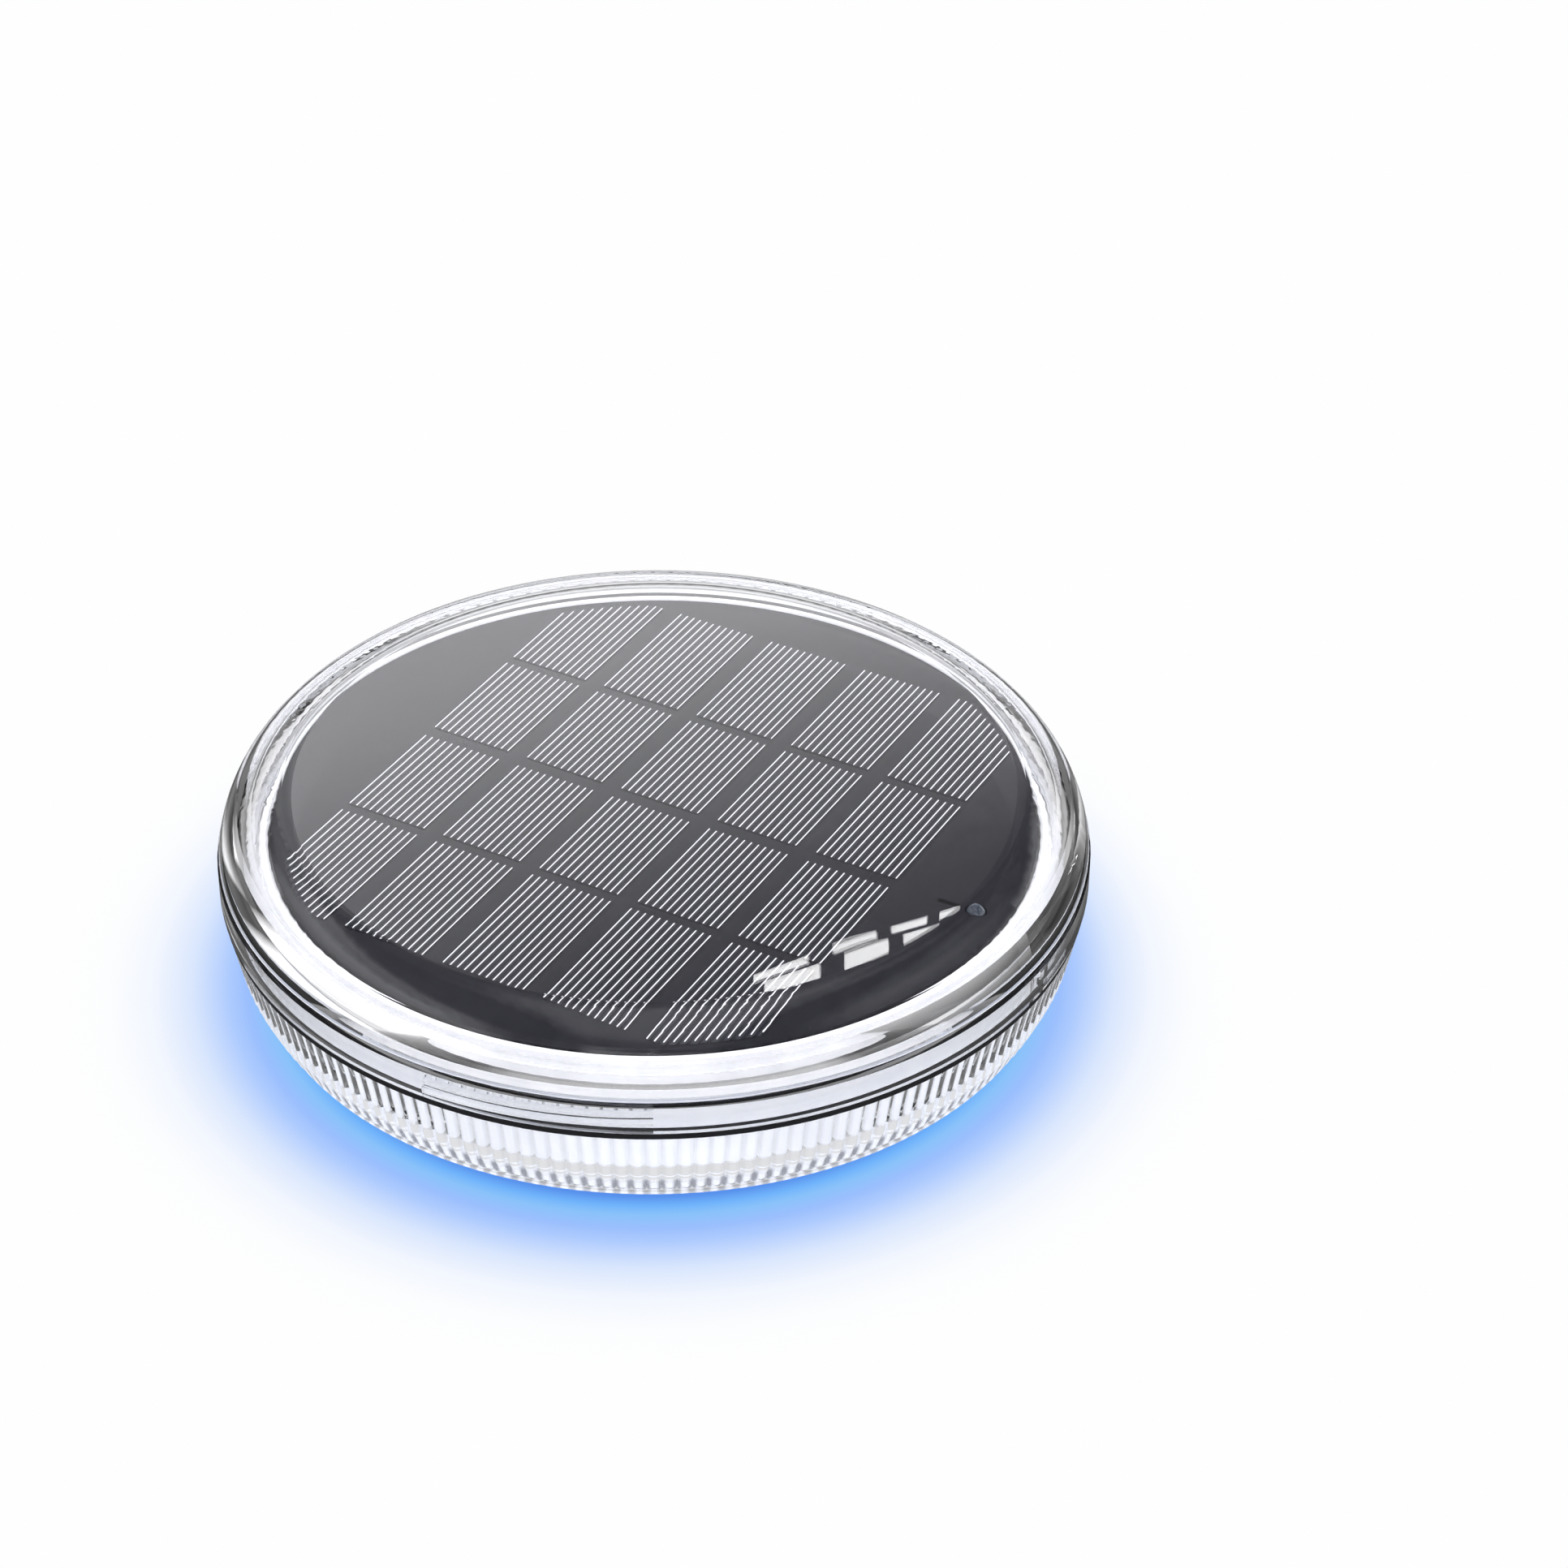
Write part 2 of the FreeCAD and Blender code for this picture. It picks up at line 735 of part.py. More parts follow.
def make_clamp_screws():
    """The screws that hold the boot's clamp to the base."""
    seat = amount(clamp_seat())
    tip = Vector(0, size("clamp_screw_circle"), 0)
    screw = pan_screw(tip, seat, seat - size("clamp_screw_bottom"), True)
    return group("clamp_screws", around(screw, size("clamp_screw_count")))


# ---------------------------------------------------------------- Tray, panel, cells and sensor


def make_panel_tray():
    """The white tray under the cover: a plate, a rim round the panel and standoffs for the boards below it."""
    body = new_body("panel_tray")
    corners = [
        ("0", "dim.tray_bottom"),
        ("dim.tray_radius", "dim.tray_bottom"),
        ("dim.tray_radius", "dim.tray_top"),
        ("dim.rim_radius", "dim.tray_top"),
        ("dim.rim_radius", "dim.rim_top - 0.3"),
        ("dim.rim_radius - 0.3", "dim.rim_top"),
        ("dim.rim_bore + 0.3", "dim.rim_top"),
        ("dim.rim_bore", "dim.rim_top - 0.3"),
        ("dim.rim_bore", "dim.tray_top"),
        ("0", "dim.tray_top"),
    ]
    revolve(body, "tray_plate", corners)
    board_posts = circle_sketch(body, "board_posts", board_corners("dim.standoff_radius"), board_top())
    pad(body, "board_standoffs", board_posts, f"dim.tray_bottom - ({board_top()})")
    board_bores = circle_sketch(body, "board_bores", board_corners("dim.standoff_bore"), board_top())
    pocket(body, "board_screw_bores", board_bores, f"dim.tray_bottom - ({board_top()}) + 0.9")
    led_posts = circle_sketch(body, "led_posts", led_screw_circles("dim.led_post_radius"), led_board_top())
    pad(body, "led_standoffs", led_posts, f"dim.tray_bottom - ({led_board_top()})")
    led_bores = circle_sketch(body, "led_bores", led_screw_circles("dim.standoff_bore"), led_board_top())
    pocket(body, "led_screw_bores", led_bores, f"dim.tray_bottom - ({led_board_top()}) + 0.9")
    half = "dim.sensor_pocket / 2"
    window = rectangle_sketch(
        body,
        "sensor_window",
        (f"dim.sensor_offset - {half}", f"-{half}"),
        (f"dim.sensor_offset + {half}", half),
        "dim.tray_bottom - 0.2",
    )
    pocket(body, "sensor_opening", window, "dim.tray_top - dim.tray_bottom + 0.4")
    wire_circles = [(*place, "dim.lead_radius + 0.5") for place in panel_lead_places()]
    wires = circle_sketch(body, "wire_holes", wire_circles, "dim.tray_bottom - 0.2")
    pocket(body, "panel_wire_holes", wires, "dim.tray_top - dim.tray_bottom + 0.4")
    return keep(body, "panel_tray")


def board_top():
    """The main board's upper face."""
    return "dim.board_bottom + dim.board_wall"


def led_board_top():
    """The LED board's upper face."""
    return "dim.led_board_bottom + dim.led_board_wall"


def board_corners(radius):
    """The main board's four screw places."""
    left = "dim.board_left + dim.board_screw_inset"
    right = "dim.board_left + dim.board_length - dim.board_screw_inset"
    front = "dim.board_front + dim.board_screw_inset"
    back = "dim.board_front + dim.board_depth - dim.board_screw_inset"
    return [(x, y, radius) for x in (left, right) for y in (front, back)]


def led_screw_circles(radius):
    """The LED board's screw places, between LEDs."""
    circles = []
    for index in range(int(size("led_screw_count"))):
        turn = size("led_screw_phase") + 360 / int(size("led_screw_count")) * index
        across = f"dim.led_screw_circle * cos({turn} deg)"
        along = f"dim.led_screw_circle * sin({turn} deg)"
        circles.append((across, along, radius))
    return circles


def panel_lead_places():
    """Where the panel's two wires pass through the tray."""
    return [("-dim.panel_wire_x", "dim.panel_wire_y"), ("dim.panel_wire_x", "dim.panel_wire_y")]


def make_panel_tape():
    """The double-sided foam ring that bonds the panel to the tray."""
    body = new_body("panel_tape")
    top = "dim.tray_top + dim.tape_wall"
    corners = [
        ("dim.tape_bore", "dim.tray_top"),
        ("dim.tape_radius", "dim.tray_top"),
        ("dim.tape_radius", top),
        ("dim.tape_bore", top),
    ]
    revolve(body, "tape_ring", corners)
    half = "dim.sensor_pocket / 2 + 0.2"
    gap = rectangle_sketch(
        body,
        "sensor_gap",
        (f"dim.sensor_offset - ({half})", f"-({half})"),
        ("dim.tape_radius + 1", half),
        "dim.tray_top - 0.2",
    )
    pocket(body, "sensor_notch", gap, "dim.tape_wall + 0.4")
    return keep(body, "panel_tape")


def make_solar_panel():
    """The round panel board, with the sensor's round hole and the slot beside it."""
    body = new_body("solar_panel")
    base = "dim.tray_top + dim.tape_wall"
    disc = circle_sketch(body, "panel_circle", [("0", "0", "dim.panel_radius")], base)
    pad(body, "panel_disc", disc, "dim.panel_wall")
    sensor = [("dim.sensor_offset", "0", "dim.sensor_hole_radius")]
    hole = circle_sketch(body, "sensor_circle", sensor, base + " - 0.2")
    pocket(body, "sensor_hole", hole, "dim.panel_wall + 0.4")
    slot_right = "dim.sensor_offset - dim.sensor_hole_radius - 0.6"
    slot = rectangle_sketch(
        body,
        "slot_outline",
        (f"{slot_right} - dim.sensor_slot_length", "-dim.sensor_slot_width / 2"),
        (slot_right, "dim.sensor_slot_width / 2"),
        base + " + dim.panel_wall / 2",
    )
    pocket(body, "sensor_slot", slot, "dim.panel_wall")
    return keep(body, "solar_panel")


def make_solar_cells():
    """The silicon strips on the panel: short in the two middle rows, long outside, cut at the round edge."""
    top = amount("dim.tray_top + dim.tape_wall + dim.panel_wall")
    thick = size("cell_wall")
    half_gap = size("cell_middle_gap") / 2
    outer_start = half_gap + size("cell_short") + size("cell_row_gap")
    rows = [
        (-outer_start - size("cell_long"), size("cell_long")),
        (-half_gap - size("cell_short"), size("cell_short")),
        (half_gap, size("cell_short")),
        (outer_start, size("cell_long")),
    ]
    columns = int(size("cell_columns"))
    limit = Part.makeCylinder(size("cell_limit_radius"), thick, Vector(0, 0, top))
    cells = []
    for column in range(columns):
        left = (column - (columns - 1) / 2) * size("cell_pitch") - size("cell_width") / 2
        for start, length in rows:
            strip = Part.makeBox(size("cell_width"), length, thick, Vector(left, start, top))
            cells.extend(strip.common(limit).Solids)
    return group("solar_cells", cells)


def make_sensor():
    """The light sensor: a square module on the LED board and its clear round lens in the panel."""
    half = "dim.sensor_size / 2"
    module = box(
        "sensor_module",
        (f"dim.sensor_offset - {half}", f"-{half}", led_board_top()),
        ("dim.sensor_size", "dim.sensor_size", f"dim.tray_top + 0.2 - ({led_board_top()})"),
    )
    keep(module, "sensor_module")
    body = new_body("sensor_lens")
    low = "dim.tray_top + 0.2"
    high = "dim.tray_top + dim.tape_wall + dim.panel_wall"
    corners = [
        ("0", low),
        ("dim.sensor_radius", low),
        ("dim.sensor_radius", high),
        ("dim.sensor_radius / 5", high + " + 0.9"),
        ("0", high + " + 0.9"),
    ]
    revolve(body, "lens_bead", corners, {2: ("dim.sensor_radius", 1)})
    body.setExpression("Placement.Base.x", "dim.sensor_offset")
    return keep(body, "sensor_lens")


# ---------------------------------------------------------------- LED ring


def make_led_board():
    """The ring board under the tray, with screw holes and the wires' holes."""
    body = new_body("led_board")
    corners = [
        ("dim.led_board_bore", "dim.led_board_bottom"),
        ("dim.led_board_radius", "dim.led_board_bottom"),
        ("dim.led_board_radius", led_board_top()),
        ("dim.led_board_bore", led_board_top()),
    ]
    revolve(body, "led_ring", corners)
    screws = led_screw_circles("dim.screw_hole_radius")
    holes = circle_sketch(body, "led_holes", screws, "dim.led_board_bottom - 0.2")
    pocket(body, "led_screw_holes", holes, "dim.led_board_wall + 0.4")
    return keep(body, "led_board")


def make_leds():
    """The LEDs' white housings below the ring board, and their clear faces."""
    side = size("led_size")
    high = size("led_height")
    low = size("led_board_bottom") - high
    housing = Part.makeBox(side, side, high, Vector(size("led_circle") - side / 2, -side / 2, low))
    uprights = [edge for edge in housing.Edges if abs(edge.BoundBox.ZLength - high) < 1e-6]
    housing = housing.makeChamfer(0.4, uprights)
    centre = Vector(size("led_circle"), 0, low)
    mouth = size("led_window_radius")
    well = Part.makeCone(mouth, mouth - 0.4, high * 0.6, centre, AXIS_Z)
    group("led_housings", around(housing.cut(well), size("led_count")))
    proud = size("led_window_proud")
    face = Part.makeCylinder(mouth - 0.1, proud, centre - AXIS_Z * proud, AXIS_Z)
    filling = Part.makeCone(mouth - 0.1, mouth - 0.5, high * 0.6, centre, AXIS_Z)
    group("led_windows", around(face.fuse(filling).removeSplitter(), size("led_count")))


def make_led_screws():
    """The screws that hold the ring board to the tray."""
    seat = size("led_board_bottom")
    length = size("led_board_wall") + size("led_screw_bite")
    tip = Vector(size("led_screw_circle"), 0, 0)
    screw = pan_screw(tip, seat, length, False)
    return group("led_board_screws", around(screw, size("led_screw_count"), size("led_screw_phase")))


# ---------------------------------------------------------------- Main board


def make_main_board():
    """The rectangular board under the tray, with a screw hole in each corner."""
    body = new_body("main_board")
    right = "dim.board_left + dim.board_length"
    back = "dim.board_front + dim.board_depth"
    low = ("dim.board_left", "dim.board_front")
    plan = rectangle_sketch(body, "board_plan", low, (right, back), "dim.board_bottom")
    pad(body, "board_plate", plan, "dim.board_wall")
    holes = circle_sketch(body, "board_holes", board_corners("dim.screw_hole_radius"), "dim.board_bottom - 0.2")
    pocket(body, "board_screw_holes", holes, "dim.board_wall + 0.4")
    return keep(body, "main_board")


def make_board_screws():
    """The screws that hold the main board to the tray's standoffs."""
    seat = size("board_bottom")
    length = size("board_wall") + size("board_screw_bite")
    screws = []
    for across, along, _ in board_corners("dim.screw_radius"):
        tip = Vector(amount(across), amount(along), 0)
        screws.append(pan_screw(tip, seat, length, False))
    return group("board_screws", screws)


def hanging_block(centre_x, centre_y, wide, deep, tall, edge=0.0):
    """A rectangular part on the board's underside."""
    low = size("board_bottom") - tall
    block = Part.makeBox(wide, deep, tall, Vector(centre_x - wide / 2, centre_y - deep / 2, low))
    if edge:
        rim = [item for item in block.Edges if abs(item.BoundBox.ZMax - low) < 1e-6]
        block = block.makeChamfer(edge, rim)
    return block


def gull_leg(centre_x, centre_y, outwards):
    """One bent leg of a chip, from the chip's side down to the board."""
    face = size("board_bottom")
    reach = size("leg_reach") * outwards
    wall = size("leg_wall")
    knee = face - size("chip_height") / 2
    points = [
        Vector(0, 0, knee - wall),
        Vector(0, reach * 0.45, knee - wall),
        Vector(0, reach * 0.45, face - wall),
        Vector(0, reach, face - wall),
        Vector(0, reach, face),
        Vector(0, reach * 0.2, face),
        Vector(0, reach * 0.2, knee),
        Vector(0, 0, knee),
    ]
    points.append(points[0])
    leg = Part.Face(Part.makePolygon(points)).extrude(Vector(size("leg_width"), 0, 0))
    leg.translate(Vector(centre_x - size("leg_width") / 2, centre_y, 0))
    return leg


def make_chip():
    """The controller chip and its two rows of legs."""
    middle_x = size("chip_x")
    middle_y = size("chip_y")
    deep = size("chip_depth")
    chip = hanging_block(middle_x, middle_y, size("chip_length"), deep, size("chip_height"), 0.2)
    chip.translate(Vector(0, 0, -size("chip_lift")))
    group("controller_chip", [chip])
    count = int(size("leg_count"))
    legs = []
    for index in range(count):
        across = middle_x + (index - (count - 1) / 2) * size("leg_pitch")
        for side in (-1, 1):
            legs.append(gull_leg(across, middle_y + side * deep / 2, side))
    group("chip_legs", legs)


def grooved_can(across, along, radius, height, groove, groove_height):
    """A round part on the board's underside, with a groove round its side at a height above its end."""
    low = size("board_bottom") - height
    can = Part.makeCylinder(radius, height, Vector(across, along, low))
    return can.cut(Part.makeTorus(radius + groove / 2, groove, Vector(across, along, low + groove_height)))


def make_board_parts():
    """The inductor, capacitors, resistors and sockets on the main board's underside."""
    tall = size("inductor_height")
    coil = grooved_can(
        size("inductor_x"), size("inductor_y"), size("inductor_radius"), tall, size("inductor_groove"), tall / 2
    )
    group("power_inductor", [coil])
    tall = size("capacitor_height")
    cans = []
    for across, along in CAPACITOR_PLACES:
        cans.append(
            grooved_can(across, along, size("capacitor_radius"), tall, size("capacitor_groove"), tall * 0.8)
        )
    group("board_capacitors", cans)
    resistors = []
    for index in range(int(size("resistor_count"))):
        across = size("resistor_left") + index * size("resistor_pitch")
        lengths = size("resistor_width"), size("resistor_depth"), size("resistor_height")
        resistors.append(hanging_block(across, size("resistor_y"), *lengths))
    group("board_resistors", resistors)
    group("board_connectors", [socket_shell(*place) for place in SOCKET_PLACES])


def socket_shell(across, along):
    """An open-ended socket for a two-pin plug."""
    long = size("socket_length")
    deep = size("socket_depth")
    tall = size("socket_height")
    wall = size("socket_wall")
    shell = hanging_block(across, along, long, deep, tall)
    low = size("board_bottom") - tall
    corner = Vector(across - long / 2 + wall, along - deep / 2 + wall, low)
    return shell.cut(Part.makeBox(long - 2 * wall, deep - 2 * wall, tall - size("socket_floor"), corner))


def make_switch():
    """The push switch over the button, and its plunger."""
    half = "dim.switch_size / 2"
    low = "dim.board_bottom - dim.switch_height"
    lengths = ("dim.switch_size", "dim.switch_size", "dim.switch_height")
    shell = box("switch_block", (f"-{half}", f"-{half}", low), lengths)
    bore = cylinder("switch_well", ("0", "0", low), "dim.switch_bore", "dim.switch_bore_depth")
    keep(cut("switch_housing", shell, [bore]), "switch_housing")
    plunger = cylinder(
        "switch_plunger",
        ("0", "0", "dim.plunger_bottom"),
        "dim.plunger_radius",
        "dim.plunger_top - dim.plunger_bottom",
    )
    keep(plunger, "switch_plunger")


# ---------------------------------------------------------------- Battery


def make_battery():
    """The round cell with its raised contact, the holder's cradle and its two sprung contact plates."""
    middle = Vector(0, size("battery_y"), size("battery_axis_height"))
    length = size("cell_can_length")
    radius = size("cell_can_radius")
    along = Vector(1, 0, 0)
    body = new_body("battery_cell")
    half = "dim.cell_can_length / 2"
    corners = [
        ("0", f"-({half})"),
        ("dim.cell_can_radius - 0.5", f"-({half})"),
        ("dim.cell_can_radius", f"-({half}) + 0.5"),
        ("dim.cell_can_radius", f"{half} - 0.5"),
        ("dim.cell_can_radius - 0.5", half),
        ("0", half),
    ]
    revolve(body, "can", corners)
    lie = Rotation(Vector(0, 1, 0), 90)
    body.Placement = Placement(middle, lie)
    body.setExpression("Placement.Base.y", "dim.battery_y")
    body.setExpression("Placement.Base.z", "dim.battery_axis_height")
    keep(body, "battery_cell")
    nub_start = middle + along * (length / 2)
    nub = Part.makeCylinder(size("battery_nub_radius"), size("battery_nub_length"), nub_start, along)
    group("battery_nub", [nub.makeFillet(0.3, [nub.Edges[0]])])
    make_battery_holder(middle, along, radius)


def make_battery_holder(middle, along, radius):
    """The cradle under the tray: a back plate, end walls and two cheeks that curve round the cell."""
    wall = size("holder_wall")
    gap = size("holder_clearance")
    long = size("holder_length")
    top = size("tray_bottom")
    half_width = radius + gap + wall
    low = middle.z - radius * size("holder_lap")
    outer = Part.makeBox(long, 2 * half_width, top - low, Vector(-long / 2, middle.y - half_width, low))
    hollow_long = long - 2 * wall
    bed = Part.makeCylinder(radius + gap, hollow_long, Vector(-hollow_long / 2, middle.y, middle.z), along)
    slot_low = Vector(-hollow_long / 2, middle.y - radius - gap, low - 1)
    slot = Part.makeBox(hollow_long, 2 * (radius + gap), middle.z - low + 1, slot_low)
    cheek = size("holder_cheek")
    open_long = long - 2 * wall - 2 * cheek
    open_low = Vector(-open_long / 2, middle.y - half_width - 1, low - 1)
    opening = Part.makeBox(open_long, 2 * half_width + 2, top - wall - low + 1, open_low)
    cradle = outer.cut(bed.fuse(slot)).cut(opening)
    group("battery_holder", [cradle.removeSplitter()])
    thick = size("contact_wall")
    side_length = size("contact_side")
    plates = []
    for side in (-1, 1):
        inner_face = side * (hollow_long / 2)
        start = inner_face - thick if side > 0 else inner_face
        corner = Vector(start, middle.y - side_length / 2, middle.z - side_length / 2)
        plates.append(Part.makeBox(thick, side_length, side_length, corner))
    group("battery_contacts", plates)


# ---------------------------------------------------------------- Wires


def lead(points):
    """A round wire along straight runs joined by tangent arcs."""
    bend = size("lead_bend")
    edges = []
    start = points[0]
    for before, corner, after in zip(points, points[1:], points[2:]):
        way_in = (corner - before).normalize()
        way_out = (after - corner).normalize()
        turn = way_in.getAngle(way_out)
        shorter = min((corner - before).Length, (after - corner).Length)
        reach = min(bend * math.tan(turn / 2), 0.45 * shorter)
        arc_start = corner - way_in * reach
        arc_end = corner + way_out * reach
        inwards = (way_out - way_in).normalize()
        radius = reach / math.tan(turn / 2)
        middle = corner + inwards * (radius / math.cos(turn / 2) - radius)
        edges.append(Part.LineSegment(start, arc_start).toShape())
        edges.append(Part.Arc(arc_start, middle, arc_end).toShape())
        start = arc_end
    edges.append(Part.LineSegment(start, points[-1]).toShape())
    path = Part.Wire(edges)
    way = (points[1] - points[0]).normalize()
    ring = Part.Wire(Part.Circle(points[0], way, size("lead_radius")).toShape())
    tube = path.makePipeShell([ring], True, True)
    if tube.Volume < 0:
        tube.reverse()
    expected = math.pi * size("lead_radius") ** 2 * path.Length
    if abs(tube.Volume - expected) > 0.03 * expected:
        raise RuntimeError("a wire is not the volume of its section times its length")
    return tube


def make_leads():
    """The wires inside the light, from the panel, the battery and the LED ring to the main board's sockets."""
    make_panel_leads()
    make_led_leads()
    make_battery_leads()


def plug_height():
    """How far up a wire's end reaches into its socket."""
    return size("board_bottom") - 1.2


def make_panel_leads():
    """From the panel's back, through the tray, to the front socket."""
    run = size("lead_run_height")
    apart = size("lead_spread") / 2
    socket = PANEL_SOCKET
    entry_y = size("panel_wire_y")
    for side, colour in ((-1, "red"), (1, "black")):
        entry_x = side * size("panel_wire_x")
        level = run + side * 0.7
        wire = lead(
            [
                Vector(entry_x, entry_y, amount("dim.tray_top + dim.tape_wall")),
                Vector(entry_x, entry_y, level + 3.0),
                Vector(side * 2.2, entry_y + 10.0, level),
                Vector(socket[0] + side * apart, socket[1], level),
                Vector(socket[0] + side * apart, socket[1], plug_height()),
            ]
        )
        group("panel_lead_" + colour, [wire])


def make_led_leads():
    """From the LED ring's underside to the left socket. The red wire goes round the black one's end."""
    run = size("lead_run_height")
    apart = size("lead_spread") / 2
    socket = LED_SOCKET
    ring_x = -(size("led_board_bore") + 2.2)
    ring_y = 3.0
    black = [
        Vector(ring_x, ring_y + 1.0, size("led_board_bottom")),
        Vector(ring_x, ring_y + 1.0, run + 3.5),
        Vector(ring_x + 13.0, socket[1], run),
        Vector(socket[0] - apart, socket[1], run),
        Vector(socket[0] - apart, socket[1], plug_height()),
    ]
    red = [
        Vector(ring_x, ring_y - 1.0, size("led_board_bottom")),
        Vector(ring_x, ring_y - 1.0, run + 3.5),
        Vector(ring_x + 13.0, socket[1] - 2.6, run),
        Vector(socket[0] - apart - 1.4, socket[1] - 2.6, run),
        Vector(socket[0] + apart, socket[1], run),
        Vector(socket[0] + apart, socket[1], plug_height()),
    ]
    group("led_lead_black", [lead(black)])
    group("led_lead_red", [lead(red)])


def make_battery_leads():
    """From the holder's two contact plates to the right socket, in front of the cell."""
    run = size("lead_run_height")
    apart = size("lead_spread") / 2
    socket = BATTERY_SOCKET
    plate_face = size("holder_length") / 2 - size("holder_wall") - size("contact_wall")
    end = plate_face - size("lead_radius") - 0.1
    tab_y = size("battery_y") - size("contact_tab")
    tab_height = size("battery_axis_height")
    front = size("battery_y") - size("cell_can_radius") - 3.0
    red = [
        Vector(end, tab_y, tab_height),
        Vector(end, tab_y, run),
        Vector(socket[0] + apart, socket[1], run),
        Vector(socket[0] + apart, socket[1], plug_height()),
    ]
    black = [
        Vector(-end, tab_y, tab_height),
        Vector(-end, tab_y, run),
        Vector(-end + 6.0, front, run),
        Vector(socket[0] - 7.0, front, run),
        Vector(socket[0] - apart, socket[1], run),
        Vector(socket[0] - apart, socket[1], plug_height()),
    ]
    group("battery_lead_red", [lead(red)])
    group("battery_lead_black", [lead(black)])


def write_out():
    """Checks every object and every sub-part, then writes one STEP file for each sub-part."""
    doc.recompute()
    broken = [item.Name for item in doc.Objects if {"Invalid", "Error"} & set(item.State)]
    if broken:
        raise RuntimeError("not built: " + ", ".join(broken))
    os.makedirs("parts", exist_ok=True)
    for piece in PARTS:
        shape = piece.Shape
        if shape.isNull() or not shape.isValid() or not shape.Solids:
            raise RuntimeError(piece.Label + " has no valid solid")
        shape.exportStep(f"parts/{piece.Label}.step")
        box_size = shape.BoundBox
        print(
            f"{piece.Label:18s} {len(shape.Solids):3d} solids {shape.Volume:10.1f} mm3"
            f"  z {box_size.ZMin:7.2f} to {box_size.ZMax:7.2f}  r {box_size.XMax:6.2f}"
        )


make_top_cover()
make_cover_seal()
make_base_shell()
make_light_diffuser()
make_button_cap()
make_button_boot()
make_boot_clamp()
make_clamp_screws()
make_panel_tray()
make_panel_tape()
make_solar_panel()
make_solar_cells()
make_sensor()
make_led_board()
make_leds()
make_led_screws()
make_main_board()
make_board_screws()
make_chip()
make_board_parts()
make_switch()
make_battery()
make_leads()
write_out()
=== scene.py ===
"""Floating solar pool light: looks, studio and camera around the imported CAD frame."""
import math

import bpy
from mathutils import Matrix, Vector

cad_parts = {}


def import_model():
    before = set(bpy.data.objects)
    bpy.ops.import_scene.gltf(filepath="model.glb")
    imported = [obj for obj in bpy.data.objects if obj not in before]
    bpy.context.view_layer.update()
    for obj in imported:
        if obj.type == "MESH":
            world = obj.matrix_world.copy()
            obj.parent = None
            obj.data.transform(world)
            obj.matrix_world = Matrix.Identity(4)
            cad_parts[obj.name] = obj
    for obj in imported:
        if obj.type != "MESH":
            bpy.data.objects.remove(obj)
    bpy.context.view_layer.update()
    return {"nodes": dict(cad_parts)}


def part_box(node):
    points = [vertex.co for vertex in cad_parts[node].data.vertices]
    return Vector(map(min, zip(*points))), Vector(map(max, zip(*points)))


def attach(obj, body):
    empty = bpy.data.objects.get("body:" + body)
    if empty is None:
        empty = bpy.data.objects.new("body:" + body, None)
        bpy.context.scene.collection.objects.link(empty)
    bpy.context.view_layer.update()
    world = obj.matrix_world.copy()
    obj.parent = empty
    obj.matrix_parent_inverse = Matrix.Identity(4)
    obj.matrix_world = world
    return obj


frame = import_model()

MM = 0.001
NODES = frame["nodes"]


# ---------------------------------------------------------------- node helpers

class Graph:
    """A node tree that is built top down, with short calls."""

    def __init__(self, tree):
        self.tree = tree
        tree.nodes.clear()

    def add(self, kind, inputs=None, **settings):
        node = self.tree.nodes.new(kind)
        for name, value in settings.items():
            setattr(node, name, value)
        for key, value in (inputs or {}).items():
            self.feed(node.inputs[key], value)
        return node

    def feed(self, socket, value):
        if isinstance(value, bpy.types.NodeSocket):
            self.tree.links.new(value, socket)
        elif isinstance(value, bpy.types.Node):
            self.tree.links.new(value.outputs[0], socket)
        else:
            socket.default_value = value

    def maths(self, operation, *values, clamp=False):
        node = self.add("ShaderNodeMath", operation=operation, use_clamp=clamp)
        for index, value in enumerate(values):
            self.feed(node.inputs[index], value)
        return node.outputs[0]

    def place(self):
        return self.add("ShaderNodeTexCoord").outputs["Object"]

    def noise(self, scale, detail=3.0, roughness=0.5, vector=None):
        return self.add(
            "ShaderNodeTexNoise",
            {"Vector": vector or self.place(), "Scale": scale, "Detail": detail, "Roughness": roughness},
        ).outputs["Fac"]

    def fit(self, value, low, high, to_low, to_high):
        return self.add(
            "ShaderNodeMapRange",
            {"Value": value, "From Min": low, "From Max": high, "To Min": to_low, "To Max": to_high},
        ).outputs[0]

    def mix(self, factor, first, second):
        node = self.add("ShaderNodeMix", data_type="RGBA")
        self.feed(node.inputs[0], factor)
        self.feed(node.inputs[6], first)
        self.feed(node.inputs[7], second)
        return node.outputs[2]

    def sharp(self, path):
        """1 for rays mirrored or bent by smooth surfaces only, 0 for camera rays and scattered light."""
        smooth = self.maths("MAXIMUM", path.outputs["Is Glossy Ray"], path.outputs["Is Transmission Ray"])
        unscattered = self.maths("LESS_THAN", path.outputs["Diffuse Depth"], 0.5)
        return self.maths("MULTIPLY", smooth, unscattered)

    def ramp(self, value, stops):
        node = self.add("ShaderNodeValToRGB", {"Fac": value})
        elements = node.color_ramp.elements
        while len(elements) < len(stops):
            elements.new(1.0)
        for element, (position, colour) in zip(elements, stops):
            element.position = position
            element.color = colour
        return node.outputs[0]


def srgb(*levels):
    """Linear RGBA of an 8-bit screen colour."""
    linear = []
    for level in levels:
        c = level / 255
        linear.append(c / 12.92 if c <= 0.04045 else ((c + 0.055) / 1.055) ** 2.4)
    return (*linear, 1.0)


def greys(stops):
    """Ramp stops of (place, level) as neutral colours."""
    return [(place, (level, level, level * 1.01, 1.0)) for place, level in stops]


def new_material(name):
    made = bpy.data.materials.new(name)
    made.use_nodes = True
    graph = Graph(made.node_tree)
    return made, graph, graph.add("ShaderNodeOutputMaterial")


